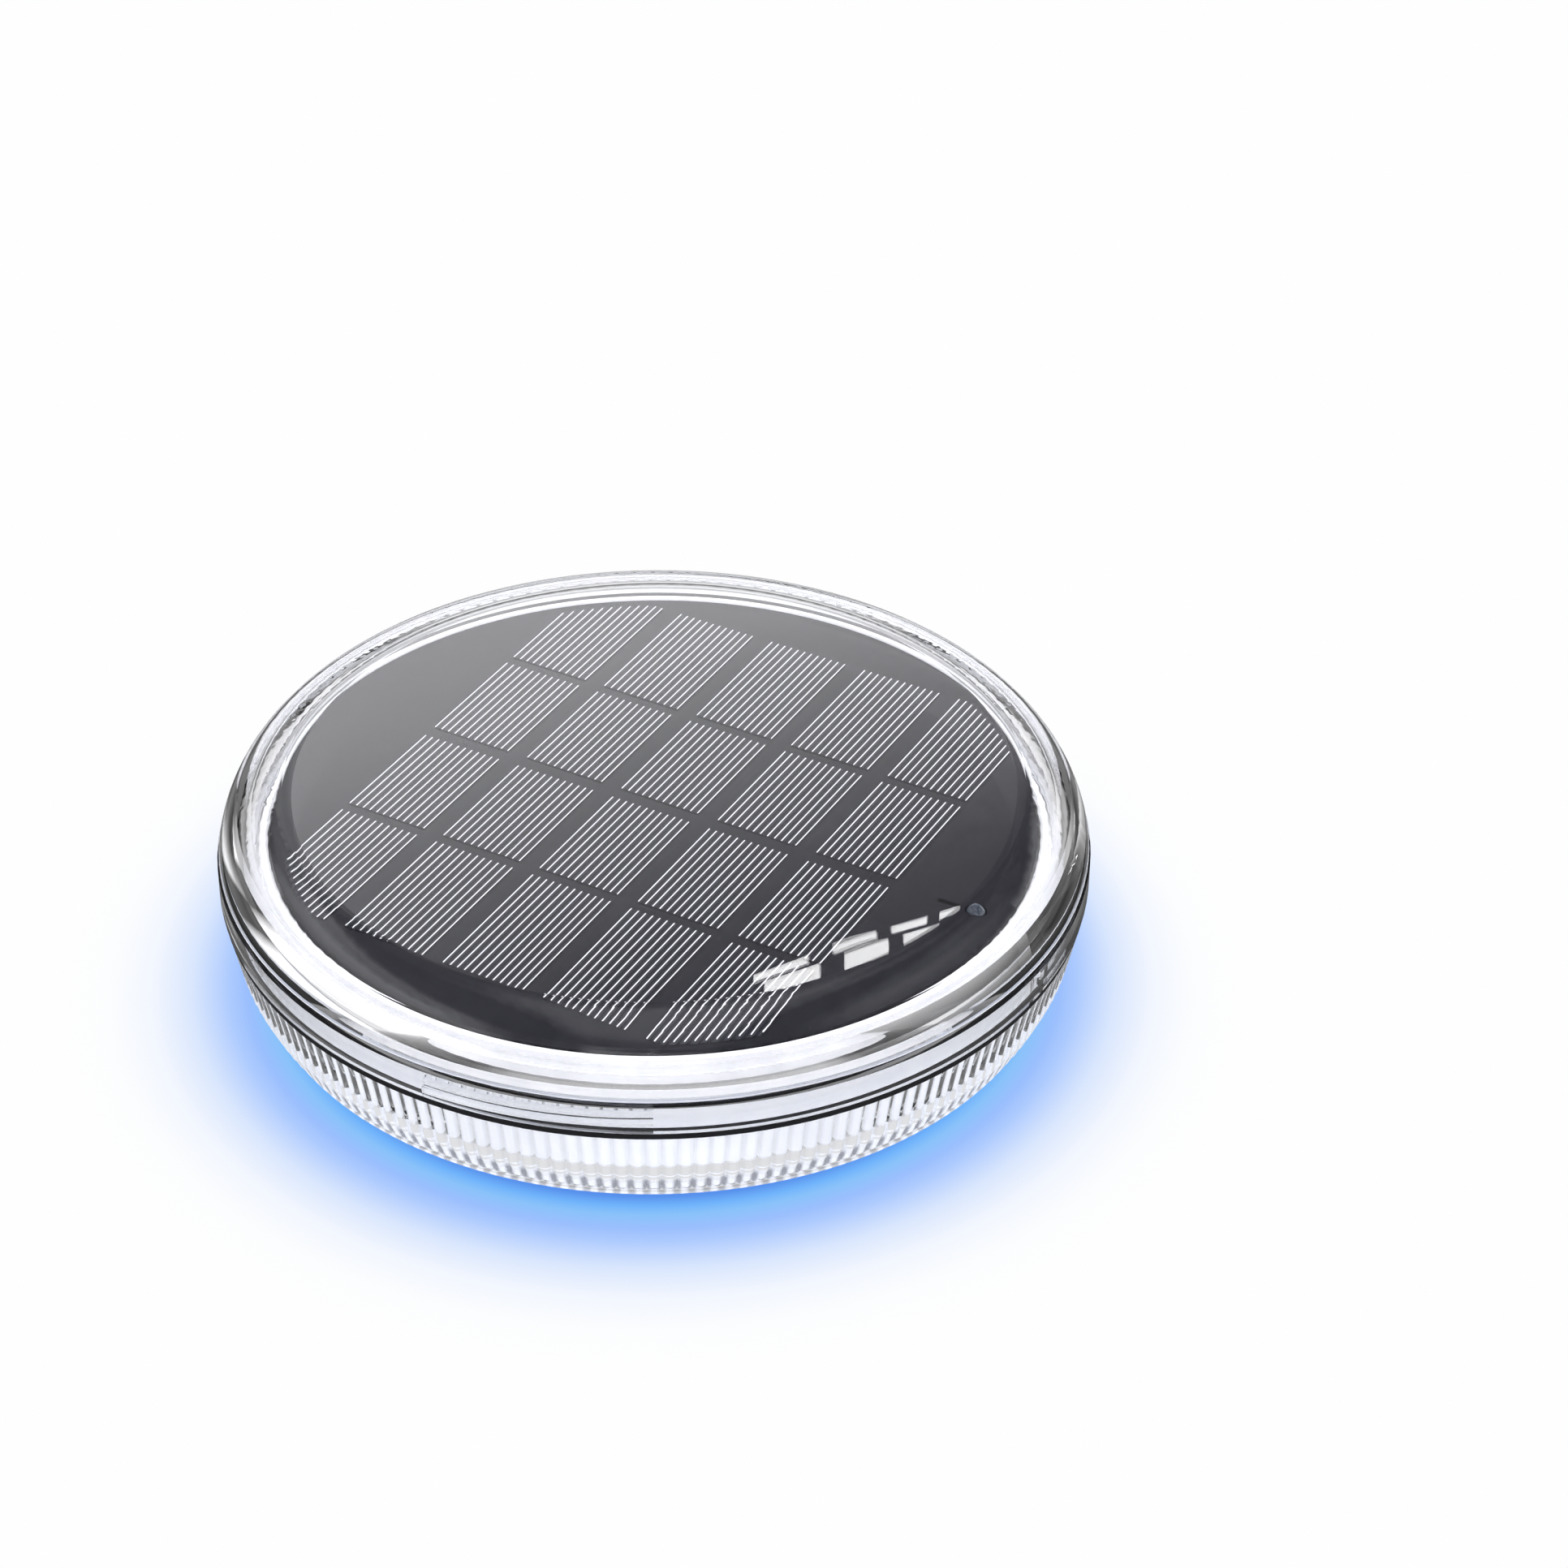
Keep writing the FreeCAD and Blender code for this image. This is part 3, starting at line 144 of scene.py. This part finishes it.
PATCH_SCALE = 250.0


def moulded(name, dark, light, rough, bump=0.1, grain=3000.0, metallic=0.0, coat=0.0, extra=None):
    """A surface with faint colour patches, a fine grain in its bump and uneven gloss."""
    made, graph, out = new_material(name)
    patches = graph.noise(PATCH_SCALE, 4.0, 0.6)
    grains = graph.noise(grain, 2.0)
    height = graph.add("ShaderNodeBump", {"Height": grains, "Strength": bump, "Distance": 0.00005})
    shader = graph.add(
        "ShaderNodeBsdfPrincipled",
        {
            "Base Color": graph.mix(graph.fit(patches, 0.3, 0.7, 0.0, 1.0), dark, light),
            "Roughness": graph.fit(patches, 0.3, 0.7, rough * 0.85, min(1.0, rough * 1.15)),
            "Metallic": metallic,
            "Coat Weight": coat,
            "Normal": height,
        },
    )
    for key, value in (extra or {}).items():
        shader.inputs[key].default_value = value
    graph.feed(out.inputs["Surface"], shader)
    return made


PLASTIC_IOR = 1.5

# The ribbed wall's painted shade, grey in the grooves and strongest at the feet: shares of half a rib's
# width, radii and heights between which it comes in
RIBS = 180
RIB_PAINTED_SHADE = srgb(92, 94, 100)
RIB_FLANK = (0.14, 0.34)
RIB_RADII = (66.0 * MM, 67.5 * MM)
RIB_FEET = (4.2 * MM, 5.6 * MM)
RIB_TOPS = (14.6 * MM, 15.0 * MM)
RIB_WALL_SHARE = 0.22


def painted_rib_shade(graph, tint):
    """Painted shade on the ribbed wall: grey in the grooves between the ribs, most of all at their feet."""
    parts = graph.add("ShaderNodeSeparateXYZ", {0: graph.place()}).outputs
    turn = graph.maths("ARCTAN2", parts[1], parts[0])
    beat = graph.maths("PINGPONG", graph.maths("MULTIPLY", turn, RIBS / (2 * math.pi)), 0.5)
    groove = graph.fit(beat, *RIB_FLANK, 0.0, 1.0)
    flat = graph.add("ShaderNodeCombineXYZ", {0: parts[0], 1: parts[1]})
    radius = graph.add("ShaderNodeVectorMath", {0: flat}, operation="LENGTH").outputs["Value"]
    outer = graph.fit(radius, *RIB_RADII, 0.0, 1.0)
    foot = graph.fit(parts[2], *RIB_FEET, 1.0, RIB_WALL_SHARE)
    below = graph.fit(parts[2], *RIB_TOPS, 1.0, 0.0)
    around = graph.maths("MULTIPLY", groove, outer)
    upwards = graph.maths("MULTIPLY", foot, below)
    return graph.mix(graph.maths("MULTIPLY", around, upwards), tint, RIB_PAINTED_SHADE)


def clear_plastic(name, tint, wave, scale, ribbed=False):
    """Polished clear moulding: faint sink waves in the surface, and lamps shine through."""
    made, graph, out = new_material(name)
    # Ribbed clear parts take painted shade in their grooves and at their feet
    if ribbed:
        tint = painted_rib_shade(graph, tint)
    waves = graph.noise(scale, 0.0)
    bump = graph.add("ShaderNodeBump", {"Height": waves, "Strength": wave, "Distance": 0.0001})
    glass = graph.add(
        "ShaderNodeBsdfPrincipled",
        {
            "Base Color": tint,
            "Roughness": 0.0,
            "IOR": PLASTIC_IOR,
            "Transmission Weight": 1.0,
            "Normal": bump,
        },
    )
    through = graph.add("ShaderNodeBsdfTransparent", {"Color": tint})
    path = graph.add("ShaderNodeLightPath")
    both = graph.add("ShaderNodeMixShader", {0: path.outputs["Is Shadow Ray"], 1: glass, 2: through})
    graph.feed(out.inputs["Surface"], both)
    return made


# ------------------------------------------------------------------- materials

def silicon_cells():
    """Dark blue-grey silicon, a little darker beside each collecting line."""
    made, graph, out = new_material("silicon_cells")
    where = graph.place()
    x = graph.add("ShaderNodeSeparateXYZ", {0: where}).outputs[0]
    beat = graph.maths("PINGPONG", graph.maths("DIVIDE", x, FINGER_PITCH), 0.5)
    edge = graph.fit(beat, 0.1, 0.3, 0.0, 1.0)
    grain = graph.noise(400.0, 5.0, 0.65, where)
    plain = graph.mix(graph.fit(grain, 0.3, 0.7, 0.0, 1.0), srgb(44, 44, 49), srgb(54, 54, 59))
    shader = graph.add(
        "ShaderNodeBsdfPrincipled",
        {
            "Base Color": graph.mix(edge, srgb(26, 26, 31), plain),
            "Roughness": 0.0,
            "Specular IOR Level": 0.5,
        },
    )
    graph.feed(out.inputs["Surface"], shader)
    return made


def glowing(name, colour, strength):
    made, graph, out = new_material(name)
    spots = graph.noise(900.0, 2.0)
    pale = graph.mix(graph.fit(spots, 0.3, 0.7, 0.0, 1.0), srgb(205, 214, 236), srgb(232, 238, 250))
    shader = graph.add(
        "ShaderNodeBsdfPrincipled",
        {
            "Base Color": pale,
            "Roughness": graph.fit(spots, 0.3, 0.7, 0.2, 0.35),
            "Emission Color": colour,
            "Emission Strength": strength,
        },
    )
    graph.feed(out.inputs["Surface"], shader)
    return made


FINGER_PITCH = 1.32 * MM

LOOKS = {
    "clear_cover": clear_plastic("clear_cover_look", (0.99, 0.992, 1.0, 1.0), 0.12, 45.0),
    "clear_base": clear_plastic("clear_base_look", (0.985, 0.99, 1.0, 1.0), 0.12, 60.0, ribbed=True),
    # Painted glow: the diffuser emits light of its own, in place of the LED light that would shine through it
    "diffuser_white": moulded(
        "diffuser_white_painted_glow_look", srgb(236, 239, 248), srgb(248, 250, 255), 0.5, 0.05,
        extra={"Emission Color": (0.97, 0.98, 1.0, 1.0), "Emission Strength": 0.34},
    ),
    "seal_rubber": moulded("seal_rubber_look", srgb(1, 1, 9), srgb(4, 4, 16), 0.7, 0.1),
    "button_rubber": moulded("button_rubber_look", srgb(206, 208, 212), srgb(222, 224, 228), 0.5, 0.3),
    "silicone": moulded("silicone_look", srgb(214, 217, 222), srgb(230, 232, 236), 0.45, 0.2),
    "white_plastic": moulded("white_plastic_look", srgb(228, 229, 232), srgb(242, 243, 245), 0.35, 0.1),
    "foam_tape": moulded("foam_tape_look", srgb(205, 205, 208), srgb(232, 232, 235), 0.9, 0.8, grain=1800.0),
    "tray_white": moulded("tray_white_look", srgb(240, 241, 245), srgb(252, 252, 254), 0.4, 0.05),
    "panel_black": moulded("panel_black_look", srgb(26, 26, 30), srgb(32, 32, 36), 0.0, 0.0),
    "silicon": silicon_cells(),
    "chip_black": moulded("chip_black_look", srgb(26, 26, 28), srgb(40, 40, 43), 0.55, 0.4),
    "lens_clear": moulded("lens_clear_look", srgb(42, 46, 54), srgb(66, 72, 82), 0.08, 0.02, coat=1.0),
    "board_white": moulded("board_white_look", srgb(232, 234, 238), srgb(246, 247, 249), 0.35, 0.1),
    "led_white": moulded("led_white_look", srgb(236, 237, 240), srgb(250, 250, 252), 0.3, 0.05),
    "led_clear": glowing("led_clear_look", (0.12, 0.32, 1.0, 1.0), 3.0),
    "steel": moulded("steel_look", srgb(150, 152, 156), srgb(182, 184, 188), 0.3, 0.15, metallic=1.0),
    "board_green": moulded("board_green_look", srgb(26, 92, 58), srgb(34, 112, 70), 0.3, 0.15),
    "nickel": moulded("nickel_look", srgb(190, 188, 186), srgb(212, 210, 208), 0.25, 0.1, metallic=1.0),
    "ferrite": moulded("ferrite_look", srgb(48, 47, 48), srgb(66, 64, 64), 0.6, 0.5),
    "can_aluminium": moulded(
        "can_aluminium_look", srgb(176, 180, 186), srgb(204, 207, 212), 0.28, 0.1, metallic=1.0
    ),
    "connector_nylon": moulded("connector_nylon_look", srgb(226, 223, 212), srgb(238, 236, 228), 0.4, 0.15),
    "switch_black": moulded("switch_black_look", srgb(28, 28, 30), srgb(42, 42, 45), 0.4, 0.2),
    "plunger_white": moulded("plunger_white_look", srgb(222, 222, 224), srgb(240, 240, 242), 0.4, 0.1),
    "battery_wrap": moulded("battery_wrap_look", srgb(36, 92, 168), srgb(44, 108, 188), 0.25, 0.08, coat=0.6),
    "wire_red": moulded("wire_red_look", srgb(168, 24, 24), srgb(190, 36, 34), 0.4, 0.15),
    "wire_black": moulded("wire_black_look", srgb(20, 20, 22), srgb(34, 34, 37), 0.4, 0.15),
}


def dress_cad_nodes():
    """Every CAD node takes the look that is named after its material slot."""
    for node in NODES.values():
        for place in node.material_slots:
            place.material = LOOKS[place.material.name.split(".")[0]]


# -------------------------------------------------------------- made in code

def piece_from(name, points, faces, body, look, smooth=True):
    mesh = bpy.data.meshes.new(name)
    mesh.from_pydata(points, [], faces)
    mesh.validate()
    for face in mesh.polygons:
        face.use_smooth = smooth
    made = bpy.data.objects.new(name, mesh)
    bpy.context.scene.collection.objects.link(made)
    mesh.materials.append(look)
    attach(made, body)
    return made


CELL_PITCH = 18.45 * MM
CELL_ROWS = ((-53.3, -26.6), (-24.5, -1.4), (1.4, 24.5), (26.6, 53.3))
CELL_COLUMNS = 5
FINGERS = 12
FINGER_WIDTH = 0.19 * MM
FINGER_HEIGHT = 0.04 * MM
FINGER_LIMIT = 61.9 * MM


def cell_fingers():
    """Silvery collecting lines on the cells: low strips with rounded ends."""
    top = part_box("solar_cells")[1].z
    half = FINGER_WIDTH / 2
    points, faces = [], []
    for column in range(CELL_COLUMNS):
        centre = (column - (CELL_COLUMNS - 1) / 2) * CELL_PITCH
        for line in range(FINGERS):
            x = centre + (line - (FINGERS - 1) / 2) * FINGER_PITCH
            reach = math.sqrt(max(0.0, FINGER_LIMIT ** 2 - (abs(x) + half) ** 2))
            for low, high in CELL_ROWS:
                start = max(low * MM, -reach)
                end = min(high * MM, reach)
                if end - start < 1.0 * MM:
                    continue
                add_strip(points, faces, x, start, end, half, top)
    silver = moulded("silver_print", srgb(244, 242, 246), srgb(253, 252, 254), 0.4, 0.05)
    return piece_from("cell_fingers", points, faces, "cover", silver, smooth=False)


def add_strip(points, faces, x, start, end, half, base):
    outline = [(x - half, start + half), (x - half * 0.7, start + half * 0.3), (x, start)]
    outline += [(x + half * 0.7, start + half * 0.3), (x + half, start + half)]
    outline += [(x + half, end - half), (x + half * 0.7, end - half * 0.3), (x, end)]
    outline += [(x - half * 0.7, end - half * 0.3), (x - half, end - half)]
    first = len(points)
    count = len(outline)
    for z in (base, base + FINGER_HEIGHT):
        points.extend((px, py, z) for px, py in outline)
    faces.append(tuple(first + i for i in reversed(range(count))))
    faces.append(tuple(first + count + i for i in range(count)))
    for i in range(count):
        j = (i + 1) % count
        faces.append((first + i, first + j, first + count + j, first + count + i))


# ---------------------------------------------------------------------- studio

FLOOR_HALF = 6.0
FLOOR_LEVEL = -0.1 * MM
# Painted light on the floor: a blue pool of light, with darker blue next to the foot as painted shade
GLOW_CENTRE = (3.3 * MM, -6.2 * MM)
GLOW_REACH = 100 * MM
PAINTED_GLOW_AND_SHADE = (
    (57.0, (70, 128, 226)),
    (60.5, (88, 145, 236)),
    (62.7, (112, 179, 251)),
    (64.8, (138, 194, 250)),
    (68.0, (155, 191, 253)),
    (71.0, (174, 203, 254)),
    (77.0, (217, 230, 253)),
    (83.5, (242, 246, 254)),
    (91.0, (252, 253, 254)),
    (99.0, (254, 254, 254)),
)

# Grey bands painted on the floor for mirrored and bent rays only: painted reflections that give the clear
# parts their dark streaks
TABLE_REACH = 600 * MM
TABLE = (
    (0.0, 0.85),
    (0.11, 0.75),
    (0.13, 0.1),
    (0.15, 0.4),
    (0.175, 0.1),
    (0.21, 0.6),
    (0.3, 0.3),
    (0.38, 0.85),
    (1.0, 1.0),
)


def floor():
    """White floor with a painted blue pool of light and painted shade next to the foot, open from below.
    Clear parts mirror it in grey bands, painted for mirrored and bent rays only.
    """
    turns = ((-1, -1), (1, -1), (1, 1), (-1, 1))
    corners = [(x * FLOOR_HALF, y * FLOOR_HALF, FLOOR_LEVEL) for x, y in turns]
    mesh = bpy.data.meshes.new("floor")
    mesh.from_pydata(corners, [], [(0, 1, 2, 3)])
    made = bpy.data.objects.new("floor", mesh)
    bpy.context.scene.collection.objects.link(made)
    look, graph, out = new_material("floor_look")
    where = graph.place()
    shifted = graph.add(
        "ShaderNodeVectorMath", {0: where, 1: (*GLOW_CENTRE, 0.0)}, operation="SUBTRACT"
    ).outputs[0]
    distance = graph.add("ShaderNodeVectorMath", {0: shifted}, operation="LENGTH").outputs["Value"]
    share = graph.maths("DIVIDE", distance, GLOW_REACH, clamp=True)
    stops = [(radius * MM / GLOW_REACH, srgb(*colour)) for radius, colour in PAINTED_GLOW_AND_SHADE]
    colour = graph.ramp(share, stops)
    # Only camera rays see the painted glow and shade
    seen = graph.add("ShaderNodeEmission", {"Color": colour, "Strength": 1.0})
    far = graph.maths("DIVIDE", distance, TABLE_REACH, clamp=True)
    mirrored = graph.add("ShaderNodeEmission", {"Color": graph.ramp(far, greys(TABLE)), "Strength": 1.0})
    paper = graph.add("ShaderNodeBsdfDiffuse", {"Color": (0.82, 0.83, 0.85, 1.0)})
    path = graph.add("ShaderNodeLightPath")
    unseen = graph.add("ShaderNodeMixShader", {0: graph.sharp(path), 1: paper, 2: mirrored})
    above = graph.add("ShaderNodeMixShader", {0: path.outputs["Is Camera Ray"], 1: unseen, 2: seen})
    below = graph.add("ShaderNodeBsdfTransparent")
    back = graph.add("ShaderNodeNewGeometry").outputs["Backfacing"]
    both = graph.add("ShaderNodeMixShader", {0: back, 1: above, 2: below})
    graph.feed(out.inputs["Surface"], both)
    mesh.materials.append(look)


STUDIO = (
    (0.0, 0.12),
    (0.1, 0.12),
    (0.22, 0.7),
    (0.42, 1.2),
    (0.51, 1.35),
    (0.534, 1.2),
    (0.558, 0.72),
    (0.576, 0.44),
    (0.595, 0.2),
    (0.622, 0.05),
    (0.75, 0.1),
    (0.88, 0.5),
    (1.0, 0.6),
)
STUDIO_TILT = (0.22, 0.12, 1.0)
SIDE_AXIS = (0.8806, 0.4739, 0.0)
SIDE_FLAGS = ((0.0, 1.0), (0.2, 1.0), (0.27, 0.05), (0.5, 0.05), (0.62, 1.0))
LAMPS = 1.9
# A far window's panes: columns (to the side) and rows (up), each with a place and half a size
PANE_LIGHT = 4.5
PANE_SLANT = 0.3
PANE_COLUMNS = ((0.0, 0.0072), (0.019, 0.0056), (0.033, 0.0045), (0.043, 0.0025))
PANE_ROWS = ((0.6086, 0.0008), (0.6117, 0.0015))
PANE_STEP = 0.003


def window_panes(graph, side, rise):
    """1 on the slanted panes of a far window. Columns and rows each have a place and half a size."""
    slanted = graph.maths("MULTIPLY_ADD", side, PANE_SLANT, rise)
    shown = 0.0
    for column, half_width in PANE_COLUMNS:
        for index, (row, half_height) in enumerate(PANE_ROWS):
            across = graph.maths("COMPARE", side, column + index * PANE_STEP, half_width)
            upright = graph.maths("COMPARE", slanted, row, half_height)
            shown = graph.maths("MULTIPLY_ADD", across, upright, shown)
    return graph.maths("MINIMUM", shown, 1.0)


def world():
    """White studio: soft light overhead and low behind, dark flags between them and at both sides."""
    studio = bpy.data.worlds.new("studio")
    studio.use_nodes = True
    bpy.context.scene.world = studio
    graph = Graph(studio.node_tree)
    out = graph.add("ShaderNodeOutputWorld")
    where = graph.add("ShaderNodeTexCoord").outputs["Generated"]
    height = graph.add(
        "ShaderNodeVectorMath", {0: where, 1: STUDIO_TILT}, operation="DOT_PRODUCT"
    ).outputs["Value"]
    level = graph.ramp(height, greys(STUDIO))
    side = graph.add(
        "ShaderNodeVectorMath", {0: where, 1: SIDE_AXIS}, operation="DOT_PRODUCT"
    ).outputs["Value"]
    flags = graph.ramp(graph.maths("ABSOLUTE", side), greys(SIDE_FLAGS))
    studio_light = graph.add("ShaderNodeBackground", {"Color": level, "Strength": flags})
    rise = graph.add("ShaderNodeSeparateXYZ", {0: where}).outputs[2]
    panes = graph.maths("MULTIPLY", window_panes(graph, side, rise), PANE_LIGHT)
    window = graph.add("ShaderNodeBackground", {"Color": (1.0, 1.0, 1.0, 1.0), "Strength": panes})
    mirrored = graph.add("ShaderNodeAddShader", {0: studio_light, 1: window})
    lamps = graph.add("ShaderNodeBackground", {"Color": (1.0, 1.0, 1.02, 1.0), "Strength": LAMPS})
    sharp = graph.sharp(graph.add("ShaderNodeLightPath"))
    both = graph.add("ShaderNodeMixShader", {0: sharp, 1: lamps, 2: mirrored})
    graph.feed(out.inputs["Surface"], both)


def camera():
    turn = Matrix.Rotation(math.radians(28.29), 3, "Z")
    right = turn @ Vector((0.99991, 0.00765, 0.01102))
    up = turn @ Vector((-0.01342, 0.56988, 0.82162))
    back = right.cross(up)
    data = bpy.data.cameras.new("camera")
    data.lens = 89.0
    data.sensor_width = 36.0
    data.clip_start = 0.01
    data.clip_end = 50.0
    made = bpy.data.objects.new("camera", data)
    bpy.context.scene.collection.objects.link(made)
    place = Matrix((right, up, back)).transposed().to_4x4()
    place.translation = Vector((267.64, -452.35, 395.59)) * MM
    made.matrix_world = place
    bpy.context.scene.camera = made


dress_cad_nodes()
cell_fingers()
floor()
world()
camera()
bpy.context.scene.view_settings.view_transform = "Standard"
